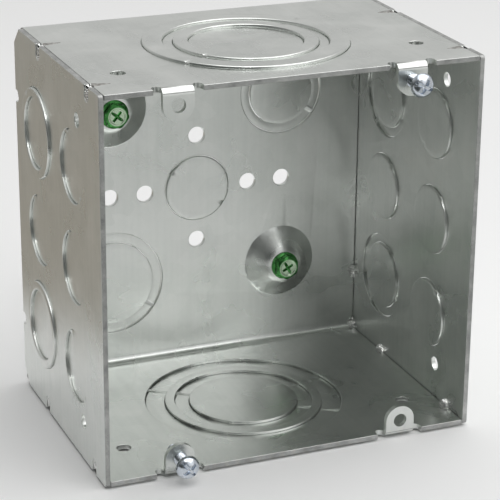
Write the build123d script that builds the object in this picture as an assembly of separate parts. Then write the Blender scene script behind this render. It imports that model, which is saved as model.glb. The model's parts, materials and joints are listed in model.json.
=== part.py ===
from build123d import *
import os
from math import atan2, sqrt, tan

# Electrical junction box: a deep square steel box, open at the front, made of one sheet bent
# into a U (top, back and bottom) and two flat side panels welded to its edges.
# Frame: X to the right, Y into the wall, Z up; the origin is the centre of the back's outer face,
# so the box runs from Y = 0 at the back to Y = -box_depth at the open front. Millimetres.

# Shell
box_width = 119.06          # outside, left to right
box_height = 119.06         # outside, bottom to top
box_depth = 82.55           # outside, front to back
sheet = 1.59                # thickness of the galvanised sheet
wrap_bend = 4.0             # outside radius of the two bends at the back
seam_gap = 0.12             # between the bent sheet's edges and the side panels
corner_gap = 0.45           # between a panel's cut rear corner and the bend's inner face
front_corner_radius = 1.0   # at the side panels' front corners

# Cover ears, bent inwards from the top and bottom sheets
ear_offset = 36.1           # from the middle of the box to an ear's middle
ear_width = 9.4
ear_reach = 9.9             # from the sheet's outer face to the ear's round end
ear_bend = 2.3              # outside radius of the ear's bend
ear_notch_width = 2.8       # relief notch beside each ear
ear_notch_depth = 2.9

# Holes
knock_half, knock_three_quarter, knock_one = 22.2, 28.2, 34.9    # knockout diameters by trade size
knock_one_quarter, knock_one_half, knock_two = 44.0, 50.4, 62.7
cut_gap = 0.18              # sheared gap round every knockout piece
step = 0.8                  # how far a knockout piece is pushed out of the sheet's level
tie_width = 2.2             # uncut bridge that holds a knockout piece
end_knock_inset = 43.0      # from the back to the middle of the top and bottom knockouts
side_rear_inset = 22.1      # from the back to the side panels' rear column
side_front_inset = 56.4     # from the back to the side panels' front column
side_pitch = 31.4           # between the rows of the side panels
back_corner_offset = 29.6   # middles of the back's corner knockouts and ground domes, both ways
back_hole_diameter = 5.6
back_hole_near = 17.95      # the four holes round the middle of the back
back_hole_far = 30.0        # the two outer holes on the back's cross line
nail_hole_diameter = 4.4    # two in each of the four walls
nail_hole_offset = 47.0
nail_hole_inset = 62.5      # from the back

# Ground domes, raised into the box from the back
dome_radius = 12.3          # where the slope would meet the back
dome_rise = 4.8
dome_land = 5.4             # radius of the flat on top, before rounding
dome_round = 5.5            # radius of the upper bend, on the inside of the box
dome_foot = 1.2             # how much wider the hollow's eased mouth is, behind

# Screws
thread_clearance = 0.05     # radial, between a screw and its hole
cover_screw_diameter = 4.17     # 8-32
cover_screw_length = 12.7
cover_head_diameter = 7.2
cover_head_height = 2.7
cover_screw_gap = 5.6       # from the ear to the underside of the backed-out head
ground_screw_diameter = 4.83    # 10-32
ground_tip_clearance = 0.1      # from the tip of the seated screw to the back's outer face
ground_seat_gap = 0.02          # under the washer
ground_washer_diameter = 9.3
ground_washer_height = 0.9
ground_hex = 7.6            # across flats
ground_hex_height = 2.4
ground_hex_top = 6.6        # diameter of the flat left by the chamfered corners
drive_width = 1.0
drive_depth = 1.2

# Welds: beads inside the corners, and outside a bite and a struck groove in each of the two sheets
weld_insets = (25.2, 71.8)  # from the back, along the top and bottom seams
weld_height = 37.3          # above and below the middle, along the rear seams
weld_length = 5.0
weld_leg = 1.6
bite_radius = 2.0           # in a panel's top and bottom edges
bite_lift = 0.9             # the bite's centre, outside the panel's edge
rear_bite_radius = 1.8      # in a panel's rear edge
rear_bite_depth = 3.0
groove_width = 3.6          # of the round-ended recess in the panel
groove_length = 4.6
groove_depth = 0.6
nick_width = 3.4            # of the pointed nick in the bent sheet
nick_length = 5.4

half_width = box_width / 2
half_height = box_height / 2
wrap_width = box_width - 2 * (sheet + seam_gap)
ear_hole_height = half_height - ear_reach + ear_width / 2
corner_cut = (wrap_bend * (sqrt(2) - 1) + sheet + corner_gap) * sqrt(2)

walls = {
    "top": Plane((0, 0, half_height), x_dir=(1, 0, 0), z_dir=(0, 0, 1)),
    "bottom": Plane((0, 0, -half_height), x_dir=(1, 0, 0), z_dir=(0, 0, -1)),
    "left": Plane((-half_width, 0, 0), x_dir=(0, 0, 1), z_dir=(-1, 0, 0)),
    "right": Plane((half_width, 0, 0), x_dir=(0, 0, 1), z_dir=(1, 0, 0)),
    "back": Plane((0, 0, 0), x_dir=(1, 0, 0), z_dir=(0, 1, 0)),
}
# A wall's local Z points out of the box and its outer face is at 0, so the sheet is at -sheet to 0.
# Local Y of the top and left walls points towards the back of the box, of the other two to the front.
depth_sign = {"top": 1, "bottom": -1, "left": 1, "right": -1}


def on_wall(wall, across, inset):
    """Place on a wall: across is along its width or height, inset is measured from the back."""
    return walls[wall] * Pos(across, -inset * depth_sign[wall], 0)


def on_back(x, z):
    return walls["back"] * Pos(x, -z, 0)


def plate(radius, low, high):
    return Pos(0, 0, low) * Cylinder(radius, high - low, align=(Align.CENTER, Align.CENTER, Align.MIN))


def bar(length, width, low, high):
    return Pos(0, 0, low) * Box(length, width, high - low, align=(Align.CENTER, Align.CENTER, Align.MIN))


# ---------------------------------------------------------------- knockouts
def knockout(diameters, shifts, flush=False):
    """The pieces of one knockout, widest first, in a wall's local frame.

    shifts gives each piece's push, outwards positive. A flush knockout is coined thinner instead
    of standing out of the wall. Each piece is tied to the one outside it by two uncut bridges.
    """
    pieces = []
    outside = (-sheet, 0)
    for index, (diameter, shift) in enumerate(zip(diameters, shifts)):
        level = (-sheet + shift, min(shift, 0) if flush else shift)
        radius = diameter / 2 - cut_gap
        piece = plate(radius, *level)
        inner = diameters[index + 1] / 2 if index + 1 < len(diameters) else 0
        shared = (max(level[0], outside[0]), min(level[1], outside[1]))
        bridge = bar(diameter + 2, tie_width, *shared)
        bridge = bridge & (plate(diameter / 2, *shared) - plate(radius - cut_gap, *shared))
        piece = piece + Rot(0, 0, 35 + 90 * index) * bridge
        if inner:
            piece = piece - plate(inner, level[0] - 1, level[1] + 1)
        pieces.append(piece)
        outside = level
    return pieces


end_diameters = (knock_two, knock_one_half, knock_one_quarter, knock_one)
end_names = ("outer_ring", "middle_ring", "inner_ring", "disc")
pair_shifts = (step, 0)
side_layout = {
    "rear_top": (side_pitch, side_rear_inset, (knock_three_quarter, knock_half)),
    "rear_middle": (0, side_rear_inset, (knock_half,)),
    "rear_bottom": (-side_pitch, side_rear_inset, (knock_three_quarter, knock_half)),
    "front_top": (side_pitch, side_front_inset, (knock_half,)),
    "front_middle": (0, side_front_inset, (knock_half,)),
    "front_bottom": (-side_pitch, side_front_inset, (knock_half,)),
}
back_layout = {
    "centre": (0, 0, (knock_half,)),
    "upper_right": (back_corner_offset, back_corner_offset, (knock_three_quarter, knock_half)),
    "lower_left": (-back_corner_offset, -back_corner_offset, (knock_one, knock_three_quarter)),
}


def named_pieces(name, spot, diameters, shifts, flush=False):
    labels = ("",) if len(diameters) == 1 else ("_ring", "_disc")
    return {
        name + label: spot * piece
        for label, piece in zip(labels, knockout(diameters, shifts, flush))
    }


def end_knockouts():
    made = {}
    for wall in ("top", "bottom"):
        for label, piece in zip(end_names, knockout(end_diameters, (step, 0, step, 0))):
            made[f"{wall}_knockout_{label}"] = on_wall(wall, 0, end_knock_inset) * piece
    return made


def side_knockouts():
    made = {}
    for wall in ("left", "right"):
        for place, (height, inset, diameters) in side_layout.items():
            shifts = (-step,) if len(diameters) == 1 else pair_shifts
            made |= named_pieces(f"{wall}_knockout_{place}", on_wall(wall, height, inset), diameters, shifts)
    return made


def back_knockouts():
    made = {}
    for place, (x, z, diameters) in back_layout.items():
        shifts = (-step,) if len(diameters) == 1 else pair_shifts
        made |= named_pieces(f"back_knockout_{place}", on_back(x, z), diameters, shifts, flush=True)
    return made


# ---------------------------------------------------------------- bent sheet: top, back and bottom
def u_sheet():
    outer = Pos(-box_depth / 2, 0) * Rectangle(box_depth, box_height)
    outer = fillet(outer.vertices().sort_by(Axis.X)[-2:], wrap_bend)
    inner = Pos(-box_depth / 2 - sheet, 0) * Rectangle(box_depth, box_height - 2 * sheet)
    inner = fillet(inner.vertices().sort_by(Axis.X)[-2:], wrap_bend - sheet)
    return extrude(Plane.YZ * (outer - inner), wrap_width / 2, both=True)


def ear():
    """An upper ear, on the middle plane: a strip bent down at the front, with a round end."""
    root = ear_notch_depth + 0.5
    front, top = -box_depth, half_height
    outer = Pos(front + root / 2, top - ear_reach / 2) * Rectangle(root, ear_reach)
    corner = outer.vertices().sort_by(Axis.X)[:2].sort_by(Axis.Y)[-1]
    outer = fillet(corner, ear_bend)
    inner = Pos(front + root / 2 + sheet, top - ear_reach / 2 - sheet) * Rectangle(root, ear_reach)
    corner = inner.vertices().sort_by(Axis.X)[:2].sort_by(Axis.Y)[-1]
    inner = fillet(corner, ear_bend - sheet)
    strip = extrude(Plane.YZ * (outer - inner), ear_width / 2, both=True)
    face = Pos(0, ear_hole_height) * Circle(ear_width / 2)
    face += Pos(0, ear_hole_height + ear_reach / 2) * Rectangle(ear_width, ear_reach)
    mask = extrude(Plane.XZ * face, box_depth * 2, both=True)
    hole = Plane.XZ * Pos(0, ear_hole_height) * Circle(cover_screw_diameter / 2 + thread_clearance)
    return (strip & mask) - extrude(hole, box_depth * 2, both=True)


def ear_window():
    """What is cut from the top sheet for an ear: its own width, and a rounded notch each side."""
    front, reach = -box_depth, ear_notch_depth
    cut = Pos(0, front + reach / 2) * Rectangle(ear_width, reach)
    for side in (-1, 1):
        middle = side * (ear_width + ear_notch_width) / 2
        straight = reach - ear_notch_width / 2
        cut += Pos(middle, front + straight / 2) * Rectangle(ear_notch_width, straight)
        cut += Pos(middle, front + straight) * Circle(ear_notch_width / 2)
    slab = Pos(0, front - 1) * Rectangle(ear_width + 2 * ear_notch_width, 2)
    return Pos(0, 0, half_height - 2 * sheet) * extrude(cut + slab, 4 * sheet)


def mound(radius, land, height, base, round_over):
    """A flat-topped round mound from its base up, about local Z."""
    slope = FilletPolyline((0, height), (land, height), (radius, base), radius=round_over)
    return revolve(Plane.XZ * make_face(slope + Polyline((radius, base), (0, base), (0, height))), Axis.Z)


def ground_dome():
    """The metal a dome adds inside the back, and the hollow behind it, in the back's frame."""
    shrink = sheet * tan(atan2(dome_rise, dome_radius - dome_land) / 2)
    added = mound(dome_radius, dome_land, dome_rise, 0, dome_round)
    hollow = mound(dome_radius - shrink, dome_land - shrink, dome_rise - sheet, -sheet, dome_round - sheet)
    mouth = hollow.edges().filter_by(GeomType.CIRCLE).group_by(Axis.Z)[0]
    lip = mouth.sort_by(SortBy.RADIUS)[-1].radius
    flare = Pos(0, 0, -sheet) * Cone(lip + dome_foot, lip, dome_foot * dome_rise / (2 * dome_radius),
                                     align=(Align.CENTER, Align.CENTER, Align.MIN))
    bore = plate(ground_screw_diameter / 2 + thread_clearance, -sheet, dome_rise + sheet)
    flip = Pos(0, 0, -sheet) * Rot(180, 0, 0)
    return flip * added, flip * (hollow + flare + bore)


dome_spots = {"upper_left": (-back_corner_offset, back_corner_offset),
              "lower_right": (back_corner_offset, -back_corner_offset)}


def nail_holes(wall):
    return [
        on_wall(wall, side * nail_hole_offset, nail_hole_inset) * plate(nail_hole_diameter / 2, -2 * sheet, sheet)
        for side in (-1, 1)
    ]


def pointed_nick():
    """A V-shaped nick from a wall's edge, at 0, that runs out to a point along local X."""
    mouth = Polyline((-nick_width / 2, 0), (0, -groove_depth), (nick_width / 2, 0), close=True)
    return loft([Plane.YZ * make_face(mouth), Vertex(nick_length, 0, 0)])


def wrap_shell():
    body = u_sheet()
    for side in (-1, 1):
        window, tab = Pos(side * ear_offset, 0, 0) * ear_window(), Pos(side * ear_offset, 0, 0) * ear()
        body = body - window - mirror(window, about=Plane.XY)
        body = body + tab + mirror(tab, about=Plane.XY)
    for spot in dome_spots.values():
        added, hollow = ground_dome()
        body = body + on_back(*spot) * added - on_back(*spot) * hollow
    back_holes = [(0, back_hole_near), (0, -back_hole_near)]
    back_holes += [(side * x, 0) for side in (-1, 1) for x in (back_hole_near, back_hole_far)]
    cuts = [on_back(x, z) * plate(back_hole_diameter / 2, -2 * sheet, sheet) for x, z in back_holes]
    for x, z, diameters in back_layout.values():
        cuts.append(on_back(x, z) * plate(diameters[0] / 2, -2 * sheet, sheet))
    for wall in ("top", "bottom"):
        cuts.append(on_wall(wall, 0, end_knock_inset) * plate(knock_two / 2, -2 * sheet, sheet))
        cuts += nail_holes(wall)
        for side in (-1, 1):
            turn = Rot(0, 0, 90 + side * 90)
            cuts += [on_wall(wall, side * wrap_width / 2, inset) * turn * pointed_nick() for inset in weld_insets]
    return body - cuts


# ---------------------------------------------------------------- side panels
def panel_groove():
    """A round-ended recess from a wall's edge, at 0, along local X."""
    straight = groove_length - groove_width / 2
    outline = Pos(straight / 2, 0) * Rectangle(straight, groove_width)
    outline += Pos(straight, 0) * Circle(groove_width / 2)
    return Pos(0, 0, -groove_depth) * extrude(outline, 2 * groove_depth)


def side_panel(wall):
    """A flat panel with cut rear corners and a bite in its edge at every weld."""
    blank = Rectangle(box_height, box_depth)
    rear = blank.vertices().sort_by(Axis.Y)[-2:]
    blank = chamfer(rear, corner_cut)
    front = blank.vertices().sort_by(Axis.Y)[:2]
    blank = Pos(0, -box_depth / 2) * fillet(front, front_corner_radius)
    for side in (-1, 1):
        for inset in weld_insets:
            blank -= Pos(side * (half_height + bite_lift), -inset) * Circle(bite_radius)
        blank -= Pos(side * weld_height, rear_bite_radius - rear_bite_depth) * Circle(rear_bite_radius)
        mouth = Rectangle(2 * rear_bite_radius, rear_bite_depth - rear_bite_radius, align=(Align.CENTER, Align.MAX))
        blank -= Pos(side * weld_height, 0) * mouth
    panel = extrude(blank, sheet, dir=(0, 0, -1))
    if depth_sign[wall] < 0:
        panel = mirror(panel, about=Plane.XZ)
    panel = walls[wall] * panel
    for height, inset, diameters in side_layout.values():
        panel -= on_wall(wall, height, inset) * plate(diameters[0] / 2, -2 * sheet, sheet)
    for hole in nail_holes(wall):
        panel -= hole
    for up in (-1, 1):
        for inset in weld_insets:
            panel -= on_wall(wall, up * half_height, inset) * Rot(0, 0, 90 + up * 90) * panel_groove()
    return panel


def bead(axis_rotation):
    """A spindle of weld metal, turned about its own seam."""
    half = weld_length / 2
    profile = make_face(ThreePointArc((-half, 0), (0, weld_leg), (half, 0)) + Line((-half, 0), (half, 0)))
    return axis_rotation * revolve(profile, Axis.X)


def weld_beads(side):
    """Beads in the corners between one side panel and the bent sheet, as separate solids."""
    inner_x, inner_z = half_width - sheet, half_height - sheet
    inside = Plane.YZ * Pos(-box_depth / 2 - sheet, 0) * Rectangle(box_depth, 2 * inner_z)
    inside = extrude(inside, inner_x, both=True)
    bend = wrap_bend - sheet
    keep = fillet(inside.edges().filter_by(Axis.X).sort_by(Axis.Y)[-2:], bend)
    mid_bend = bend * (1 - 1 / sqrt(2))
    along, upright = bead(Rot(0, 0, 90)), bead(Rot(0, 90, 0))
    beads = []
    for up in (-1, 1):
        beads += [Pos(side * inner_x, -inset, up * inner_z) * along for inset in weld_insets]
        beads.append(Pos(side * inner_x, -sheet, up * weld_height) * upright)
    corner = Pos(side * inner_x, -sheet - mid_bend, mid_bend - inner_z)
    beads.append(corner * bead(Rot(0, 45, 90)))
    return Compound(children=[(metal & keep).solid() for metal in beads])


# ---------------------------------------------------------------- screws, heads facing the open front
def cross_drive(height, span):
    slot = Box(span, drive_width, drive_depth, align=(Align.CENTER, Align.CENTER, Align.MAX))
    return Pos(0, 0, height) * (slot + Rot(0, 0, 90) * slot)


def cover_screw():
    """Round head with a combination drive; local Z points out of the head, the ear's face is at 0."""
    base = cover_screw_gap
    dome_sphere = (cover_head_diameter ** 2 / 4 + cover_head_height ** 2) / (2 * cover_head_height)
    head = Pos(0, 0, base + cover_head_height - dome_sphere) * Sphere(dome_sphere)
    head = head & plate(cover_head_diameter, base, base + cover_head_height)
    head -= cross_drive(base + cover_head_height, cover_head_diameter * 0.72)
    tip = base - cover_screw_length
    shank = plate(cover_screw_diameter / 2, tip, base)
    shank = chamfer(shank.edges().sort_by(Axis.Z)[0], cover_screw_diameter * 0.12)
    return head + shank


def ground_screw():
    """Hexagon washer head; local Z points out of the head, the dome's land is at 0."""
    length = dome_rise + sheet - ground_tip_clearance
    washer = plate(ground_washer_diameter / 2, 0, ground_washer_height)
    top = ground_washer_height + ground_hex_height
    hexagon = RegularPolygon(ground_hex / 2, 6, major_radius=False)
    head = extrude(Pos(0, 0, ground_washer_height) * hexagon, ground_hex_height)
    cone = Cone(ground_hex_top / 2 + ground_hex, ground_hex_top / 2, ground_hex * 0.6,
                align=(Align.CENTER, Align.CENTER, Align.MAX))
    head = Pos(0, 0, top) * cone & head
    head -= cross_drive(top, ground_hex * 0.62)
    shank = plate(ground_screw_diameter / 2, -length, 0)
    shank = chamfer(shank.edges().sort_by(Axis.Z)[0], ground_screw_diameter * 0.12)
    return washer + head + shank


def facing_front(x, y, z):
    return Plane((x, y, z), x_dir=(1, 0, 0), z_dir=(0, -1, 0))


def screws():
    cover, ground = cover_screw(), ground_screw()
    seat = -sheet - dome_rise - ground_seat_gap
    made = {
        "cover_screw_upper_right": facing_front(ear_offset, -box_depth, ear_hole_height) * cover,
        "cover_screw_lower_left": facing_front(-ear_offset, -box_depth, -ear_hole_height) * cover,
    }
    for place, (x, z) in dome_spots.items():
        made[f"ground_screw_{place}"] = facing_front(x, seat, z) * ground
    return made


pieces = {
    "wrap_shell": wrap_shell(),
    "left_side_panel": side_panel("left"),
    "right_side_panel": side_panel("right"),
    "weld_beads_left": weld_beads(-1),
    "weld_beads_right": weld_beads(1),
}
pieces |= end_knockouts() | side_knockouts() | back_knockouts() | screws()

os.makedirs("parts", exist_ok=True)
for name, shape in pieces.items():
    export_step(shape, f"parts/{name}.step")
print(len(pieces), "nodes written")
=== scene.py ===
# An electrical junction box in galvanised sheet, with knockouts, welds, cover screws and ground screws
import json
from math import pi, radians, tau

import bmesh
import bpy
import numpy as np
from mathutils import Matrix, Vector

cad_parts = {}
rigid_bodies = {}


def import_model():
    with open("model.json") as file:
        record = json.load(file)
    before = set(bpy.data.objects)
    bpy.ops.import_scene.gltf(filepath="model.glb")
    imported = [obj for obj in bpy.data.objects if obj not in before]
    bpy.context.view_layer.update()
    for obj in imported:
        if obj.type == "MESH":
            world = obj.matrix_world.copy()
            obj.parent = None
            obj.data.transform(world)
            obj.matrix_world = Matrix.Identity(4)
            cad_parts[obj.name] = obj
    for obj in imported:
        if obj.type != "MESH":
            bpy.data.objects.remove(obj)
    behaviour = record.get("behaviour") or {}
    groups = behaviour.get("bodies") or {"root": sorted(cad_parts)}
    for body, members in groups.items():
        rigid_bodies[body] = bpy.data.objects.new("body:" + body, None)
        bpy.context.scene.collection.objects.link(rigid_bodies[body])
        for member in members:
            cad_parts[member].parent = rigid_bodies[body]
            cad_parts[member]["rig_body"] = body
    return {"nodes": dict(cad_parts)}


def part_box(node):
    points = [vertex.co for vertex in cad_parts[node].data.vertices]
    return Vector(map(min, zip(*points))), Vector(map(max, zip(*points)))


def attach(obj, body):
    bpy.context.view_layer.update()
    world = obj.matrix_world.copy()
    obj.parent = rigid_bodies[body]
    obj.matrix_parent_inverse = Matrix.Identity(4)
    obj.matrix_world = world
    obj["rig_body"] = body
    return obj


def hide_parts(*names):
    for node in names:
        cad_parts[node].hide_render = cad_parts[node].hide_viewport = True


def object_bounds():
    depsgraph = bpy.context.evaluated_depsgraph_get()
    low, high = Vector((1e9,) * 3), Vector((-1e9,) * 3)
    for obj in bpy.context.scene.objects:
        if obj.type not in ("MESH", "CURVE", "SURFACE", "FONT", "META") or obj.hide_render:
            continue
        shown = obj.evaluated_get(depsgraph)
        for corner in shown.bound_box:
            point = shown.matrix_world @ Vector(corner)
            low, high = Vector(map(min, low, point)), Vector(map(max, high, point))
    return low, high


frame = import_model()
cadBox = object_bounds()
mm = 0.001
wallOut = {     # where each wall faces, and the direction its knockout angles start from
    "top": ((0, 0, 1), (1, 0, 0)),
    "bottom": ((0, 0, -1), (1, 0, 0)),
    "left": ((-1, 0, 0), (0, 0, 1)),
    "right": ((1, 0, 0), (0, 0, 1)),
    "back": ((0, 1, 0), (1, 0, 0)),
}
rng = np.random.default_rng(11)
print("stage: frame loaded,", len(frame["nodes"]), "nodes")


def newMaterial(name):
    material = bpy.data.materials.new(name)
    material.use_nodes = True
    nodes = material.node_tree.nodes
    nodes.clear()
    shader = nodes.new("ShaderNodeBsdfPrincipled")
    output = nodes.new("ShaderNodeOutputMaterial")
    material.node_tree.links.new(shader.outputs["BSDF"], output.inputs["Surface"])
    return material, nodes, material.node_tree.links.new, shader


# The same point of a piece always gets the same pattern: everything reads object coordinates
def stretchedNoise(nodes, link, scale, size, detail=2.0, rough=0.5, distortion=0.0):
    place = nodes.new("ShaderNodeTexCoord")
    mapping = nodes.new("ShaderNodeMapping")
    mapping.inputs["Scale"].default_value = scale
    noise = nodes.new("ShaderNodeTexNoise")
    noise.inputs["Scale"].default_value = size
    noise.inputs["Detail"].default_value = detail
    noise.inputs["Roughness"].default_value = rough
    noise.inputs["Distortion"].default_value = distortion
    link(place.outputs["Object"], mapping.inputs["Vector"])
    link(mapping.outputs["Vector"], noise.inputs["Vector"])
    return noise.outputs["Fac"]


def remap(nodes, link, value, fromLow, fromHigh, toLow, toHigh):
    node = nodes.new("ShaderNodeMapRange")
    link(value, node.inputs["Value"])
    for key, number in (("From Min", fromLow), ("From Max", fromHigh), ("To Min", toLow), ("To Max", toHigh)):
        node.inputs[key].default_value = number
    return node.outputs["Result"]


def maths(nodes, link, kind, first, second):
    node = nodes.new("ShaderNodeMath")
    node.operation = kind
    for slot, value in enumerate((first, second)):
        if isinstance(value, (int, float)):
            node.inputs[slot].default_value = value
        else:
            link(value, node.inputs[slot])
    return node.outputs["Value"]


def colourRamp(nodes, link, value, stops):
    ramp = nodes.new("ShaderNodeValToRGB")
    link(value, ramp.inputs["Fac"])
    points = ramp.color_ramp.elements
    while len(points) < len(stops):
        points.new(0.5)
    for point, (place, colour) in zip(points, stops):
        point.position = place
        point.color = (*colour, 1)
    return ramp.outputs["Color"]


def bumps(nodes, link, layers):
    previous = None
    for height, strength, distance in layers:
        node = nodes.new("ShaderNodeBump")
        node.inputs["Strength"].default_value = strength
        node.inputs["Distance"].default_value = distance
        link(height, node.inputs["Height"])
        if previous is not None:
            link(previous, node.inputs["Normal"])
        previous = node.outputs["Normal"]
    return previous


zincSheet = {
    "dark": (0.70, 0.725, 0.70),
    "middle": (0.79, 0.81, 0.785),
    "light": (0.87, 0.88, 0.86),
    "rough": (0.24, 0.36),
    "cloudSize": 38.0,
    "fineSize": 900.0,
    "spangleSize": 170.0,
    "spangleWarp": (160.0, 0.006),      # size of the noise that bends the spangle's outlines, and how far
    "mix": {"streaks": 0.20, "clouds": 0.58, "spangle": 0.09, "fine": 0.07},
    "waveSize": 22.0,
    "waveBump": (0.22, 0.0012),
    "cloudBump": (0.05, 0.0001),
}


# Galvanised sheet: a rolling grain of long fine streaks, soft cloudy patches and faint spangle
def galvanised(name, grainScale, settings):
    material, nodes, link, shader = newMaterial(name)
    mix = settings["mix"]
    streaks = stretchedNoise(nodes, link, grainScale, 1.0, 2.0, 0.5)
    clouds = stretchedNoise(nodes, link, (1, 1, 1), settings["cloudSize"], 3.0, 0.55, 0.6)
    fine = stretchedNoise(nodes, link, (1, 1, 1), settings["fineSize"], 1.0, 0.5)
    waves = stretchedNoise(nodes, link, (1, 1, 1), settings["waveSize"], 1.0, 0.4)
    warpSize, warpReach = settings["spangleWarp"]
    place = nodes.new("ShaderNodeTexCoord")
    spangle = nodes.new("ShaderNodeTexVoronoi")
    spangle.inputs["Scale"].default_value = settings["spangleSize"]
    spangle.inputs["Randomness"].default_value = 1.0
    warp = nodes.new("ShaderNodeVectorMath")
    warp.operation = "ADD"
    link(place.outputs["Object"], warp.inputs[0])
    warpNoise = nodes.new("ShaderNodeTexNoise")
    warpNoise.inputs["Scale"].default_value = warpSize
    link(place.outputs["Object"], warpNoise.inputs["Vector"])
    shrink = nodes.new("ShaderNodeVectorMath")
    shrink.operation = "SCALE"
    shrink.inputs["Scale"].default_value = warpReach
    link(warpNoise.outputs["Color"], shrink.inputs[0])
    link(shrink.outputs["Vector"], warp.inputs[1])
    link(warp.outputs["Vector"], spangle.inputs["Vector"])
    flakes = nodes.new("ShaderNodeSeparateColor")
    link(spangle.outputs["Color"], flakes.inputs["Color"])
    tone = maths(nodes, link, "MULTIPLY", streaks, mix["streaks"])
    for key, value in (("clouds", clouds), ("spangle", flakes.outputs["Red"]), ("fine", fine)):
        tone = maths(nodes, link, "ADD", tone, maths(nodes, link, "MULTIPLY", value, mix[key]))
    stops = [(0.30, settings["dark"]), (0.5, settings["middle"]), (0.72, settings["light"])]
    colour = colourRamp(nodes, link, tone, stops)
    link(colour, shader.inputs["Base Color"])
    shader.inputs["Metallic"].default_value = 1.0
    link(remap(nodes, link, clouds, 0.3, 0.7, *settings["rough"]), shader.inputs["Roughness"])
    layers = [(waves, *settings["waveBump"]), (clouds, *settings["cloudBump"])]
    link(bumps(nodes, link, layers), shader.inputs["Normal"])
    return material


cutSteel = {
    "dark": (0.27, 0.275, 0.27),
    "light": (0.58, 0.585, 0.575),
    "streakSize": 2600.0,
    "patchSize": 260.0,
    "rough": (0.42, 0.62),
}


# A sheared edge: duller and rougher than the zinc, with fine streaks and broader patches
def shearedEdge(name, settings):
    material, nodes, link, shader = newMaterial(name)
    streaks = stretchedNoise(nodes, link, (1, 1, 1), settings["streakSize"], 3.0, 0.7)
    patches = stretchedNoise(nodes, link, (1, 1, 1), settings["patchSize"], 2.0)
    half = maths(nodes, link, "MULTIPLY", patches, 0.5)
    tone = maths(nodes, link, "ADD", maths(nodes, link, "MULTIPLY", streaks, 0.5), half)
    colour = colourRamp(nodes, link, tone, [(0.3, settings["dark"]), (0.65, settings["light"])])
    link(colour, shader.inputs["Base Color"])
    shader.inputs["Metallic"].default_value = 1.0
    link(remap(nodes, link, streaks, 0.3, 0.7, *settings["rough"]), shader.inputs["Roughness"])
    link(bumps(nodes, link, [(streaks, 0.3, 0.00008)]), shader.inputs["Normal"])
    return material


platedSteel = {"low": (0.56, 0.61, 0.68), "high": (0.80, 0.84, 0.90), "rough": (0.16, 0.30)}
greenZinc = {
    "low": (0.055, 0.25, 0.06),
    "high": (0.14, 0.46, 0.14),
    "rough": (0.18, 0.30),
    # pale green painted on the head's flat face: a painted highlight, the light that face mirrors
    "thin": (0.62, 0.78, 0.58),
}


# Plated screws: an even bright coat with faint clouding and small dings; where the settings give it, a
# painted highlight of pale green on the head's face
def plated(name, settings):
    material, nodes, link, shader = newMaterial(name)
    cloudSize, dingSize = 420.0, 1900.0
    clouds = stretchedNoise(nodes, link, (1, 1, 1), cloudSize, 3.0, 0.6)
    dings = stretchedNoise(nodes, link, (1, 1, 1), dingSize, 2.0, 0.5)
    colour = colourRamp(nodes, link, clouds, [(0.32, settings["low"]), (0.68, settings["high"])])
    if "thin" in settings:
        thin = nodes.new("ShaderNodeAttribute")     # 1 on the head's face, which gets a painted highlight: paler green standing in for the light the face mirrors
        thin.attribute_name = "thinDye"
        mix = nodes.new("ShaderNodeMix")
        mix.data_type = "RGBA"
        link(thin.outputs["Fac"], mix.inputs["Factor"])
        link(colour, mix.inputs[6])
        mix.inputs[7].default_value = (*settings["thin"], 1)
        colour = mix.outputs[2]
    link(colour, shader.inputs["Base Color"])
    shader.inputs["Metallic"].default_value = 1.0
    link(remap(nodes, link, clouds, 0.3, 0.7, *settings["rough"]), shader.inputs["Roughness"])
    link(bumps(nodes, link, [(clouds, 0.15, 0.0002), (dings, 0.10, 0.00008)]), shader.inputs["Normal"])
    return material


weldSteel = {"low": (0.42, 0.42, 0.41), "high": (0.92, 0.92, 0.91), "size": 900.0, "rough": (0.42, 0.16)}
scorchedZinc = {"low": (0.16, 0.15, 0.135), "high": (0.55, 0.54, 0.52), "size": 640.0, "rough": (0.6, 0.36)}


# Weld metal: a solidified skin, mottled dark to bright; with other settings, the scorched zinc beside it
def weldMetal(name, settings):
    material, nodes, link, shader = newMaterial(name)
    beads = stretchedNoise(nodes, link, (1, 1, 1), settings["size"], 3.0, 0.6)
    colour = colourRamp(nodes, link, beads, [(0.34, settings["low"]), (0.60, settings["high"])])
    link(colour, shader.inputs["Base Color"])
    shader.inputs["Metallic"].default_value = 1.0
    link(remap(nodes, link, beads, 0.3, 0.7, *settings["rough"]), shader.inputs["Roughness"])
    link(bumps(nodes, link, [(beads, 0.5, 0.0004)]), shader.inputs["Normal"])
    return material


grainAlongBend = (620, 16, 16)      # streaks run over the top, down the back and along the bottom
grainUpright = (16, 620, 16)
wrapZinc = galvanised("wrapZinc", grainAlongBend, zincSheet)
sideZinc = galvanised("sideZinc", grainUpright, zincSheet)
cutEdge = shearedEdge("cutEdge", cutSteel)
zincPlate = plated("zincPlate", platedSteel)
greenPlate = plated("greenPlate", greenZinc)
weldBright = weldMetal("weldBright", weldSteel)
weldScar = weldMetal("weldScar", scorchedZinc)
print("stage: materials ready")


# points[i, j] is a grid of rows, each closed into a ring; with poles, the first and the last row become one
# vertex each
def gridMesh(name, points, poles=True):
    body = points[1:-1] if poles else points
    count, columns = body.shape[:2]
    index = np.arange(count * columns).reshape(count, columns)
    right = np.roll(index, -1, axis=1)
    vertices = [body.reshape(-1, 3)]
    faces = np.stack([index[:-1], right[:-1], right[1:], index[1:]], axis=-1).reshape(-1, 4).tolist()
    if poles:
        tip = np.full(columns, count * columns)
        vertices += [points[:1].mean(axis=1), points[-1:].mean(axis=1)]
        faces += np.stack([tip, right[0], index[0]], axis=-1).tolist()
        faces += np.stack([tip + 1, index[-1], right[-1]], axis=-1).tolist()
    mesh = bpy.data.meshes.new(name)
    mesh.from_pydata(np.concatenate(vertices).tolist(), [], faces)
    mesh.validate()
    return mesh
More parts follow.
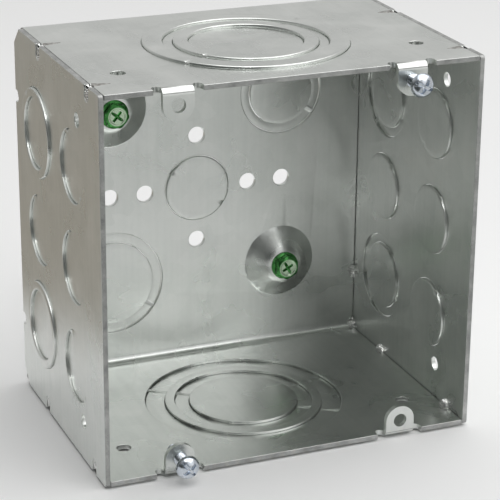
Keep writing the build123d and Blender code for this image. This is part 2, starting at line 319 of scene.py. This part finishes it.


# a piece that stands for a CAD node: it rides on the node's body, takes the materials it is given, and hides
# the node
def finish(name, mesh, node, materials, sharp):
    piece = bpy.data.objects.new(name, mesh)
    bpy.context.scene.collection.objects.link(piece)
    for material in materials:
        mesh.materials.append(material)
    mesh.polygons.foreach_set("use_smooth", np.ones(len(mesh.polygons), bool))
    mesh.set_sharp_from_angle(angle=radians(sharp))
    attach(piece, frame["nodes"][node]["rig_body"])
    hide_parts(node)
    return piece


def mergeDoubles(mesh):
    work = bmesh.new()
    work.from_mesh(mesh)
    bmesh.ops.remove_doubles(work, verts=work.verts, dist=1e-7)
    work.to_mesh(mesh)
    work.free()


def outwards(mesh):
    work = bmesh.new()
    work.from_mesh(mesh)
    bmesh.ops.recalc_face_normals(work, faces=work.faces)
    work.to_mesh(mesh)
    work.free()


sheet = {
    "thick": 1.59 * mm,
    "edgeRound": 0.22 * mm,
    "edgeSteps": 2,
    "earOffset": 36.1 * mm,
    "earZone": 8.2 * mm,
    "earDepth": 3.6 * mm,
    "weldInsets": (25.2 * mm, 71.8 * mm),
    "rearWelds": 37.3 * mm,
    "nick": (2.2 * mm, 1.2 * mm, 6 * mm),       # a weld's nick: half length, depth and reach inwards
    "near": 0.3 * mm,           # how close to an outer edge a face across the thickness lies
}


# A CAD sheet with its facets joined and its sharp edges eased
def easedSheet(node, zinc):
    mesh = frame["nodes"][node].data.copy()
    mesh.materials.clear()
    mesh.materials.append(zinc)
    mesh.materials.append(cutEdge)
    work = bmesh.new()
    work.from_mesh(mesh)
    bmesh.ops.remove_doubles(work, verts=work.verts, dist=1e-6)
    bmesh.ops.dissolve_limit(work, angle_limit=radians(0.4), verts=work.verts, edges=work.edges)
    ease = work.edges.layers.float.new("bevel_weight_edge")
    for edge in work.edges:
        edge[ease] = easing(edge, node)
    work.to_mesh(mesh)
    work.free()
    markCutFaces(mesh, node)
    piece = finish(node + "_sheet", mesh, node, [], 30)
    bevel = piece.modifiers.new("easedEdges", "BEVEL")
    bevel.width = sheet["edgeRound"]
    bevel.segments = sheet["edgeSteps"]
    bevel.limit_method = "WEIGHT"
    bevel.use_clamp_overlap = False
    bevel.loop_slide = False
    bevel.harden_normals = True
    return piece


# how much an edge is rounded: not where it is flat, nor at ears and nicks, whose edges are too close together
def easing(edge, node):
    if len(edge.link_faces) != 2 or edge.calc_face_angle(0) < radians(34):
        return 0.0
    middle = (edge.verts[0].co + edge.verts[1].co) / 2
    if node != "wrap_shell":
        return 1.0
    ear = abs(abs(middle.x) - sheet["earOffset"]) < sheet["earZone"]
    ear = ear and middle.y < cadFront + sheet["earDepth"]
    half, depth, reach = sheet["nick"]
    nick = min(abs(middle.y + inset) for inset in sheet["weldInsets"]) < half
    nick = nick and abs(middle.z) > wrapTop - depth and abs(middle.x) > wrapHigh.x - reach
    return 0.0 if ear or nick else 1.0


# Bare cut steel shows on the outer edges of all three sheets; the shorn edges of their holes are smeared
# with zinc
def markCutFaces(mesh, node):
    count = len(mesh.polygons)
    normals = np.empty(count * 3)
    centres = np.empty(count * 3)
    mesh.polygons.foreach_get("normal", normals)
    mesh.polygons.foreach_get("center", centres)
    normals, centres = normals.reshape(-1, 3), centres.reshape(-1, 3)
    near = sheet["near"]
    front = centres[:, 1] < cadFront + near
    rear = centres[:, 1] > -near
    if node == "wrap_shell":
        cut = (np.abs(normals[:, 0]) > 0.9) & (np.abs(centres[:, 0]) > wrapHigh.x - near)
        cut |= front & (normals[:, 1] < -0.9) & (np.abs(centres[:, 2]) > wrapTop - sheet["thick"])
    else:
        edge = front | rear | (np.abs(centres[:, 2]) > wrapTop - near)
        cut = (np.abs(normals[:, 0]) < 0.3) & edge
    mesh.polygons.foreach_set("material_index", cut.astype(np.int32))


wrapLow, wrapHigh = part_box("wrap_shell")
cadFront, wrapTop = wrapLow.y, wrapHigh.z
for node, zinc in (("wrap_shell", wrapZinc), ("left_side_panel", sideZinc), ("right_side_panel", sideZinc)):
    easedSheet(node, zinc)
print("stage: sheets eased")


knockout = {
    "cutGap": 0.18 * mm,
    "tieWidth": 1.5 * mm,
    "tieTurn": 35,              # degrees, and a quarter turn more for each piece further in
    "rollOver": 0.42 * mm,      # rounded edge on the side that was struck
    "burr": 0.12 * mm,
    "crown": 0.12 * mm,         # how much a disc domes in the middle
    "tilt": 0.07 * mm,          # how far a piece leans from lying true
    "tieReach": 0.55 * mm,      # how far in from the rim a tie's slope begins, and the most it climbs
    "tieSwell": 1.1,            # how far a tie bridges the cut, as a share of the gap
    "around": 168,
}
orderIn = ("outer_ring", "middle_ring", "inner_ring", "disc")
innerOf = {"outer_ring": "middle_ring", "middle_ring": "inner_ring", "inner_ring": "disc", "ring": "disc"}


# the wall that a knockout piece is in, which its node's name starts with
def wallOf(node):
    return node.split("_")[0]


# which piece of its knockout a node is: one of orderIn, "ring" or "disc" of a pair, or "" for one alone
def kindOf(node):
    for kind in (*orderIn[:3], "ring", "disc"):
        if node.endswith("_" + kind):
            return kind
    return ""


# a knockout piece's centre on its wall, its radius without ties, and its two levels, from the frame
def measure(node):
    low, high = (np.array(corner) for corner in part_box(node))
    out = np.array(wallOut[wallOf(node)][0], float)
    middle = (low + high) / 2
    size = (high - low)[np.abs(out) < 0.5]
    levels = sorted((float(low @ out), float(high @ out)))
    return middle - out * (middle @ out), size.min() / 2, levels


# A quarter circle inside a corner (radius, height) of the profile; the signs say which way the corner points,
# and one of sine and cosine runs the radius and the other the height, in the order that the arc is walked
def rounded(corner, size, outward, upward, radiusWave, heightWave):
    quarter = np.linspace(0, pi / 2, 5)
    r = corner[0] + outward * size * (radiusWave(quarter) - 1)
    h = corner[1] + upward * size * (heightWave(quarter) - 1)
    return np.stack([r, h], 1)


# A ring or disc: a closed profile with rounded corners, turned about the wall's normal. At its two ties the
# rim swells by the width of the cut and slopes to the level of the metal around it.
def knockoutPiece(node, zinc):
    wall, kind = wallOf(node), kindOf(node)
    out, across = (np.array(way, float) for way in wallOut[wall])
    along = np.cross(out, across)
    centre, radius, (low, high) = measure(node)
    inner = 0.0
    if kind in innerOf:
        inner = measure(node[: -len(kind)] + innerOf[kind])[1] + knockout["cutGap"]
    depth = orderIn.index(kind) if node.startswith(("top", "bottom")) else int(kind == "disc")
    roll, burr = knockout["rollOver"], knockout["burr"]
    outerRoll, innerRoll = (roll, burr) if high > wallTop[wall] - 0.1 * mm else (burr, roll)
    lowRim = rounded((radius, low), innerRoll, 1, -1, np.sin, np.cos)
    highRim = rounded((radius, high), outerRoll, 1, 1, np.cos, np.sin)
    if inner:
        highBore = rounded((inner, high), outerRoll, -1, 1, np.sin, np.cos)
        lowBore = rounded((inner, low), innerRoll, -1, -1, np.cos, np.sin)
        profile = np.concatenate([lowRim, highRim, highBore, lowBore, lowRim[:1]])
        crown = np.zeros(len(profile))
    else:
        share = np.linspace(0, 1, 9)
        flatLow = np.stack([share * (radius - innerRoll), np.full(9, low)], 1)
        flatHigh = np.stack([share[::-1] * (radius - outerRoll), np.full(9, high)], 1)
        profile = np.concatenate([flatLow[:-1], lowRim, highRim, flatHigh[1:]])
        crown = knockout["crown"] * (1 - (profile[:, 0] / radius) ** 2) * (1 if high < wallTop[wall] else -1)
    tieHalf = knockout["tieWidth"] / 2 / radius
    ties = radians(knockout["tieTurn"] + 90 * depth) + np.array([0, pi])
    near = (ties[:, None] + np.linspace(-1.5, 1.5, 13) * tieHalf).ravel()
    even = np.linspace(0, tau, knockout["around"], endpoint=False)
    turn = np.unique(np.round(np.concatenate([even, near % tau]), 5))
    off = np.abs((turn[:, None] - ties + pi) % tau - pi).min(axis=1)
    tie = 1 / (1 + np.exp((off / tieHalf - 1) * 9))
    reach = knockout["tieReach"]
    rim = np.clip((profile[:, 0] - radius + reach) / reach, 0, 1)
    level = (wallTop[wall] - sheet["thick"] / 2) - (low + high) / 2
    lean = rng.uniform(0, tau)
    r = profile[:, :1] + knockout["cutGap"] * knockout["tieSwell"] * rim[:, None] * tie
    h = profile[:, 1:] + crown[:, None] + np.clip(level, -reach, reach) * rim[:, None] * tie
    h = h + knockout["tilt"] * (r / radius) * np.cos(turn - lean)
    spoke = np.cos(turn)[:, None] * across + np.sin(turn)[:, None] * along
    points = centre + r[..., None] * spoke + h[..., None] * out
    mesh = gridMesh(node, points, not inner)
    if inner:
        mergeDoubles(mesh)
    outwards(mesh)
    return finish(node + "_struck", mesh, node, [zinc], 40)


wallTop = {"top": wrapTop, "bottom": wrapTop, "back": 0.0}
wallTop["left"] = wallTop["right"] = -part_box("left_side_panel")[0].x
for node in sorted(frame["nodes"]):
    if "knockout" in node:
        knockoutPiece(node, sideZinc if wallOf(node) in ("left", "right") else wrapZinc)
print("stage: knockouts made")


thread = {
    "crest": 0.12,              # share of the pitch's half wave that is flat, at the crest and at the root
    "rowsPerPitch": 9,
    "around": 48,
    "tipLength": 0.9 * mm,
    "tipSlope": 0.55,
}
drive = {
    "armsLose": 0.6,            # share of their depth that the crossed arms lose by their ends
    "slotShare": 0.72,          # the slot's width as a share of an arm's
}
coverScrew = {
    "headRadius": 3.6 * mm,
    "headHeight": 2.7 * mm,
    "major": 2.085 * mm,
    "pitch": 0.794 * mm,
    "threadDepth": 0.40 * mm,
    "recessReach": 2.25 * mm,
    "recessWidth": 1.15 * mm,
    "recessWall": 0.22 * mm,
    "recessDepth": 1.5 * mm,
    "slotReach": 3.1 * mm,
    "slotDepth": 0.75 * mm,
    "brim": 0.35 * mm,          # the straight rim under the dome
    "domePowers": (2.3, 0.62),
    "turned": {"cover_screw_upper_right": 28, "cover_screw_lower_left": 52},    # degrees
}
groundScrew = {
    "washerRadius": 4.65 * mm,
    "washerHeight": 0.9 * mm,
    "across": 7.6 * mm,
    "topRadius": 3.15 * mm,
    "rimRadius": 2.7 * mm,
    "headHeight": 3.3 * mm,
    "major": 2.415 * mm,
    "pitch": 0.794 * mm,
    "threadDepth": 0.45 * mm,
    "recessReach": 2.1 * mm,
    "recessWidth": 1.1 * mm,
    "recessWall": 0.25 * mm,
    "recessDepth": 1.5 * mm,
    "slotReach": 2.5 * mm,
    "slotDepth": 0.6 * mm,
    "dish": 0.28 * mm,
    "dishSlope": 0.35 * mm,
    "turned": {"ground_screw_upper_left": 40, "ground_screw_lower_right": 62},
}


# how deep the drive is at a point of the head: two crossed arms that get shallower outwards, and a slot
def driveDepth(u, v, screw):
    wall, half, reach = screw["recessWall"], screw["recessWidth"] / 2, screw["recessReach"]
    first = np.minimum(half - np.abs(v), reach - np.abs(u))
    second = np.minimum(half - np.abs(u), reach - np.abs(v))
    arms = np.clip(np.maximum(first, second) / wall, 0, 1)
    shallower = 1 - drive["armsLose"] * np.clip(np.hypot(u, v) / reach, 0, 1)
    arms = arms * screw["recessDepth"] * shallower
    slot = np.minimum(half * drive["slotShare"] - np.abs(v), screw["slotReach"] - np.abs(u))
    return np.maximum(arms, np.clip(slot / wall, 0, 1) * screw["slotDepth"])


# (radius, height, turn) around a screw's own axis become points; heights grow out of the head, towards -Y
def roundAxis(radius, height, turn, x, y, z):
    return np.stack([x + radius * np.cos(turn), y - height, z + radius * np.sin(turn)], axis=-1)


# A thread: the radius falls from the crest to the root and back once a pitch, and the pattern climbs one
# pitch a turn; it fades under the head and narrows to the tip
def threadedShank(screw, length, x, y, z):
    rows = int(length / screw["pitch"] * thread["rowsPerPitch"])
    turn = np.linspace(0, tau, thread["around"], endpoint=False)
    depth = np.linspace(0, length, rows)[:, None]
    wave = np.abs(((-depth / screw["pitch"] - turn / tau) % 1) * 2 - 1)
    groove = np.clip((wave - thread["crest"]) / (1 - 2 * thread["crest"]), 0, 1) * screw["threadDepth"]
    groove = groove * np.clip(depth / screw["pitch"], 0, 1)
    tip = screw["major"] - np.clip(depth - length + thread["tipLength"], 0, None) * thread["tipSlope"]
    radius = np.minimum(screw["major"] - groove, tip)
    side = roundAxis(radius, -depth + 0 * turn, turn + 0 * depth, x, y, z)
    shrink = np.array([0.6, 0.0])[:, None]
    end = roundAxis(radius[-1:] * shrink, 0 * turn - length + 0 * shrink, turn + 0 * shrink, x, y, z)
    start = roundAxis(0 * radius[:1], 0 * turn[None], turn[None], x, y, z)
    return gridMesh("shank", np.concatenate([start, side, end]))


# A round head: underside, a short rim, then a dome whose height falls as the 2.3rd power of the radius, less
# the drive
def coverHead(node, x, y, z):
    screw = coverScrew
    turn = np.linspace(0, tau, 160, endpoint=False)
    share = np.concatenate([np.linspace(1, 0.72, 9), np.linspace(0.71, 0, 44)])[:, None]
    radius = share * screw["headRadius"] + 0 * turn
    brim, (inPower, outPower) = screw["brim"], screw["domePowers"]
    dome = (screw["headHeight"] - brim) * (1 - share ** inPower) ** outPower + brim
    aim = turn + radians(screw["turned"][node])
    drop = driveDepth(radius * np.cos(aim), radius * np.sin(aim), screw)
    top = roundAxis(radius, dome - np.minimum(drop, dome - 0.3 * mm), turn + 0 * radius, x, y, z)
    under = np.array([0.0, 0.5, 0.96, 1.0])[:, None]
    lift = np.array([0.0, 0.0, 0.0, 0.08])[:, None] * mm
    below = roundAxis(under * screw["headRadius"] + 0 * turn, lift + 0 * turn, turn + 0 * under, x, y, z)
    return gridMesh("head", np.concatenate([below, top]))


# A hexagon washer head: each row of the profile is cut by the hexagon's own radius, which is half the width
# across flats over the cosine of the angle from the nearest flat; the top is a shallow dish with the drive
# in it
def groundHead(node, x, y, z):
    screw = groundScrew
    turn = np.linspace(0, tau, 168, endpoint=False)
    aim = turn + radians(screw["turned"][node])
    flat = (aim + pi / 6) % (pi / 3) - pi / 6
    hexagon = screw["across"] / 2 / np.cos(flat)
    hexagon = np.minimum(hexagon, screw["across"] / 2 * 1.125)
    w, t = screw["washerRadius"], screw["washerHeight"]
    top = screw["headHeight"]
    full = 9        # stands for the hexagon's whole width
    washer = [(0, 0), (0.6 * w, 0), (w - 0.2 * mm, 0), (w, 0.15 * mm), (w, 0.45 * mm)]
    washer += [(w - 0.15 * mm, 0.62 * mm), (w - 0.45 * mm, t - 0.12 * mm)]
    flats = [(full, t), (full, t + 0.2 * mm), (full, t + 0.9 * mm), (full, top - 0.85 * mm)]
    flats += [(4.1 * mm, top - 0.62 * mm), (3.75 * mm, top - 0.38 * mm), (3.4 * mm, top - 0.14 * mm)]
    rows = np.array(washer + flats + [(screw["topRadius"], top)])
    cornered = np.where(rows[:, 1:] > t, hexagon, full)
    radius = np.where(rows[:, :1] == full, hexagon, np.minimum(rows[:, :1], cornered))
    height = rows[:, 1:] + 0 * turn
    inward = np.linspace(0.995, 0, 46)[:, None] * screw["topRadius"] + 0 * turn
    dish = screw["dish"] * np.clip((screw["rimRadius"] - inward) / screw["dishSlope"], 0, 1)
    drop = driveDepth(inward * np.cos(aim), inward * np.sin(aim), screw)
    radius = np.concatenate([radius, inward])
    height = np.concatenate([height, top - np.maximum(dish, drop)])
    mesh = gridMesh("head", roundAxis(radius, height, turn + 0 * radius, x, y, z))
    # the head's flat face, where the green plate gets its painted highlight
    face = np.clip((screw["topRadius"] - radius) / (0.25 * mm), 0, 1) * (height > top - 0.45 * mm)
    layer = mesh.attributes.new("thinDye", "FLOAT", "POINT")
    layer.data.foreach_set("value", np.concatenate([face[1:-1].ravel(), [0, 0]]))
    return mesh


# several meshes as one, every shell facing outwards
def joined(name, parts):
    work = bmesh.new()
    for part in parts:
        work.from_mesh(part)
    mesh = bpy.data.meshes.new(name)
    work.to_mesh(mesh)
    work.free()
    outwards(mesh)
    return mesh


for node in sorted(frame["nodes"]):
    if "screw" not in node:
        continue
    low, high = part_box(node)
    x, z = (low.x + high.x) / 2, (low.z + high.z) / 2
    cover = node.startswith("cover")
    screw = coverScrew if cover else groundScrew
    seat = low.y + screw["headHeight"]
    head = coverHead(node, x, seat, z) if cover else groundHead(node, x, seat, z)
    shank = threadedShank(screw, high.y - seat, x, seat, z)
    finish(node + "_turned", joined(node, [head, shank]), node, [zincPlate if cover else greenPlate], 38)
print("stage: screws made")


weld = {
    "insideLength": 4.6 * mm,
    "insideRadius": 1.75 * mm,
    "insideLift": 0.35 * mm,    # of a bead's axis out of the corner
    "insideSunk": 0.8,          # how deep a bead goes into the corner, as a share of its radius
    "ripples": 5.5,             # along a bead
    "bow": 0.12,                # how far a bead bends off its axis, as a share of its half width
    "padLength": 4.3 * mm,      # the strip of weld metal in a panel's groove
    "padHalf": 0.95 * mm,
    "scarLength": 5.9 * mm,     # the pointed scorched mark on the bent sheet
    "scarHalf": 1.75 * mm,
    "padLift": 0.46 * mm,
    "padDepth": 0.4 * mm,
    "padIn": (0.52 * mm, 0.35 * mm, 0.9 * mm),      # a pad's middle: in from the panel, forward, down
    "scarLift": 0.16 * mm,
    "scarDepth": 0.75 * mm,
    "scarIn": 0.05 * mm,
    "bendIn": 0.7 * mm,         # of the bead in the low rear corner, along both walls
}


# A weld bead from a frame of origin, axis, side and normal: rows run along it, and each row is an ellipse
# whose half width follows the given outline, crossed by solidified ripples; what is below the metal is hidden
def weldBead(origin, axis, side, up, length, half, height, depth, outline, ripple, seed):
    rows, columns = 40, 28
    share = np.linspace(0, 1, rows)[:, None]
    turn = np.linspace(0, tau, columns, endpoint=False)
    wave = 1 + ripple * np.cos(share * weld["ripples"] * tau + 1.2 * np.cos(turn) + seed)
    wave = wave * (1 + 0.10 * np.sin(3 * share + seed * 2.0))
    width = half * outline(share) * wave
    lift = np.where(np.sin(turn) > 0, height, depth) * np.sqrt(outline(share)) * wave
    bow = weld["bow"] * half * np.sin(share * pi + seed)
    sideways, upwards = width * np.cos(turn) + bow, lift * np.sin(turn)
    points = (np.array(origin) + (share[..., None] - 0.5) * length * np.array(axis)
              + sideways[..., None] * np.array(side) + upwards[..., None] * np.array(up))
    return gridMesh("bead", points)


# outlines along a bead, from 0 to 1: a spindle pointed at both ends, and a leaf, blunt where it starts
def spindle(share):
    return np.clip(1 - np.abs(2 * share - 1) ** 2.6, 0, 1) ** 0.55


def leaf(share):
    return np.clip(share * 14, 0, 1) * (1 - share) ** 0.75 * np.clip((1 - share) * 30, 0, 1)


# All the welds of one side: in the corners, in the panel's grooves, and the scorched marks beside them
def weldsOn(name, sideways):
    inner, back, thick = sideways * (panelOut - sheet["thick"]), -sheet["thick"], sheet["thick"]
    beads, scars = [], []
    radius = weld["insideRadius"]
    inside = (weld["insideLength"], radius, radius, radius * weld["insideSunk"], spindle, 0.09)
    padIn, padForward, padDown = weld["padIn"]
    for up in (-1, 1):
        diagonal = np.array([-sideways, 0, -up]) / np.sqrt(2)
        for inset in sheet["weldInsets"]:
            at = np.array([inner, -inset, up * (wrapTop - thick)]) + diagonal * weld["insideLift"]
            side = np.cross((0, 1, 0), diagonal)
            beads.append(weldBead(at, (0, 1, 0), side, diagonal, *inside, rng.uniform(0, 6)))
            length = weld["padLength"]
            at = (sideways * (panelOut - padIn), -inset + padForward, up * (wrapTop - padDown - length / 2))
            shape = (length, weld["padHalf"], weld["padLift"], weld["padDepth"], spindle, 0.07)
            beads.append(weldBead(at, (0, 0, -up), (0, 1, 0), (sideways, 0, 0), *shape, rng.uniform(0, 6)))
            length = weld["scarLength"]
            at = (sideways * (wrapHigh.x - length / 2), -inset, up * (wrapTop - weld["scarIn"]))
            shape = (length, weld["scarHalf"], weld["scarLift"], weld["scarDepth"], leaf, 0.06)
            scars.append(weldBead(at, (-sideways, 0, 0), (0, 1, 0), (0, 0, up), *shape, rng.uniform(0, 6)))
        diagonal = np.array([-sideways, -1, 0]) / np.sqrt(2)
        at = np.array([inner, back, up * sheet["rearWelds"]]) + diagonal * weld["insideLift"]
        side = np.cross((0, 0, 1), diagonal)
        beads.append(weldBead(at, (0, 0, 1), side, diagonal, *inside, rng.uniform(0, 6)))
    bendIn = weld["bendIn"]
    at = np.array([inner, back - bendIn, -wrapTop + thick + bendIn])
    axis = np.array([0, -1, 1]) / np.sqrt(2)
    side = np.cross(axis, (-sideways, 0, 0))
    beads.append(weldBead(at, axis, side, np.array((-sideways, 0, 0)), *inside, rng.uniform(0, 6)))
    mesh = joined(name, beads)
    count = len(mesh.polygons)
    whole = joined(name, [mesh, *scars])
    kinds = np.arange(len(whole.polygons)) >= count
    whole.materials.append(weldBright)
    whole.materials.append(weldScar)
    whole.polygons.foreach_set("material_index", kinds.astype(np.int32))
    return finish(name + "_run", whole, name, [], 60)


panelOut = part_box("right_side_panel")[1].x
weldsOn("weld_beads_left", -1)
weldsOn("weld_beads_right", 1)
print("stage: welds made")


# outlines of the cards on the floor, in metres; their tones are painted shade, standing in for floor in
# shadow or dimly lit as the metal mirrors it
brownCorners = (-0.9, 0.0), (-0.10, 0.0), (-0.05, 0.16), (-0.05, 0.9)
darkCorners = (-0.9, -0.9), (0.0, -0.9), (-0.02, -0.155), (-0.9, -0.13)
greyCorners = (0.01, -0.9), (0.9, -0.9), (0.9, -0.06), (0.11, -0.06), (0.06, -0.15), (-0.01, -0.155)
studio = {
    "floorHalf": 6.0,
    "floorTone": 0.90,
    "roomStrength": 0.55,
    "brightWay": (0.62, 0.52, 0.59),
    "darkTone": (0.10, 0.11, 0.105),
    "brightTone": (1.0, 1.0, 0.99),
    "lights": (     # where, size and watts
        ("overhead", (0.3, -0.2, 1.1), (1.7, 1.7), 11),
        ("keyRight", (0.58, -1.2, 0.52), (1.25, 1.1), 2.5),
        ("spark", (-0.25, -0.7, 1.0), (0.12, 0.12), 0.9),
    ),
    "lightsAim": (0, -0.04, 0),
    "cards": (
        ("brownCard", brownCorners, (0.36, 0.33, 0.285)),
        ("darkCard", darkCorners, (0.04, 0.045, 0.04)),
        ("greyCard", greyCorners, (0.48, 0.49, 0.48)),
    ),
}


# a rectangular light at a place, aimed at a target
def areaLight(name, place, target, size, power):
    data = bpy.data.lights.new(name, "AREA")
    data.shape = "RECTANGLE"
    data.size, data.size_y = size
    data.energy = power
    light = bpy.data.objects.new(name, data)
    light.location = place
    light.rotation_euler = (Vector(target) - Vector(place)).to_track_quat("-Z", "Y").to_euler()
    bpy.context.scene.collection.objects.link(light)


# a matt card on the floor, out of the picture, for the bare metal to mirror: a sheet of painted shade, the
# floor in shadow seen only in reflections
def addCard(name, corners, tone, level):
    mesh = bpy.data.meshes.new(name)
    mesh.from_pydata([(*corner, level) for corner in corners], [], [range(len(corners))])
    card = bpy.data.objects.new(name, mesh)
    card.visible_camera = False
    card.visible_diffuse = False
    card.visible_shadow = False
    bpy.context.scene.collection.objects.link(card)
    material, nodes, link, shader = newMaterial(name)
    shader.inputs["Base Color"].default_value = (*tone, 1)
    shader.inputs["Roughness"].default_value = 0.9
    mesh.materials.append(material)


def buildStudio():
    low = cadBox[0].z
    half = studio["floorHalf"]
    corners = [(-half, -half, low), (half, -half, low), (half, half, low), (-half, half, low)]
    mesh = bpy.data.meshes.new("studioFloor")
    mesh.from_pydata(corners, [], [(0, 1, 2, 3)])
    floor = bpy.data.objects.new("studioFloor", mesh)
    bpy.context.scene.collection.objects.link(floor)
    material, nodes, link, shader = newMaterial("paleFloor")
    shader.inputs["Base Color"].default_value = (studio["floorTone"],) * 3 + (1,)
    shader.inputs["Roughness"].default_value = 0.9
    mesh.materials.append(material)
    for name, corners, tone in studio["cards"]:
        addCard(name, corners, tone, low + 0.5 * mm)
    world = bpy.data.worlds.new("studioWorld")
    world.use_nodes = True
    bpy.context.scene.world = world
    nodes, link = world.node_tree.nodes, world.node_tree.links.new
    nodes.clear()
    seen = nodes.new("ShaderNodeBackground")
    seen.inputs["Color"].default_value = (1, 1, 1, 1)
    seen.inputs["Strength"].default_value = 1.0
    lit = nodes.new("ShaderNodeBackground")
    lit.inputs["Strength"].default_value = studio["roomStrength"]
    place = nodes.new("ShaderNodeTexCoord")
    towards = nodes.new("ShaderNodeVectorMath")
    towards.operation = "DOT_PRODUCT"
    towards.inputs[1].default_value = studio["brightWay"]
    link(place.outputs["Generated"], towards.inputs[0])
    sweep = remap(nodes, link, towards.outputs["Value"], -0.55, 0.45, 0.0, 1.0)
    colour = colourRamp(nodes, link, sweep, [(0, studio["darkTone"]), (1, studio["brightTone"])])
    link(colour, lit.inputs["Color"])
    path = nodes.new("ShaderNodeLightPath")
    mix = nodes.new("ShaderNodeMixShader")
    output = nodes.new("ShaderNodeOutputWorld")
    link(path.outputs["Is Camera Ray"], mix.inputs["Fac"])
    link(lit.outputs["Background"], mix.inputs[1])
    link(seen.outputs["Background"], mix.inputs[2])
    link(mix.outputs["Shader"], output.inputs["Surface"])
    for name, place, size, power in studio["lights"]:
        areaLight(name, place, studio["lightsAim"], size, power)


view = {
    "eye": (-0.2207, -0.5798, 0.2127),
    "look": (0.3582, 0.8638, -0.3543),
    "up": (0.1280, 0.3305, 0.9351),
    "lens": 143.8,
}


def addCamera():
    data = bpy.data.cameras.new("camera")
    data.lens = view["lens"]
    data.sensor_width = 36
    data.clip_start, data.clip_end = 0.01, 50
    camera = bpy.data.objects.new("camera", data)
    look, up = Vector(view["look"]).normalized(), Vector(view["up"])
    side = look.cross(up).normalized()
    up = side.cross(look)
    turn = Matrix((side, up, -look)).transposed().to_4x4()
    camera.matrix_world = Matrix.Translation(view["eye"]) @ turn
    bpy.context.scene.collection.objects.link(camera)
    bpy.context.scene.camera = camera


buildStudio()
addCamera()
bpy.context.scene.view_settings.view_transform = "Standard"
print("stage: studio ready")
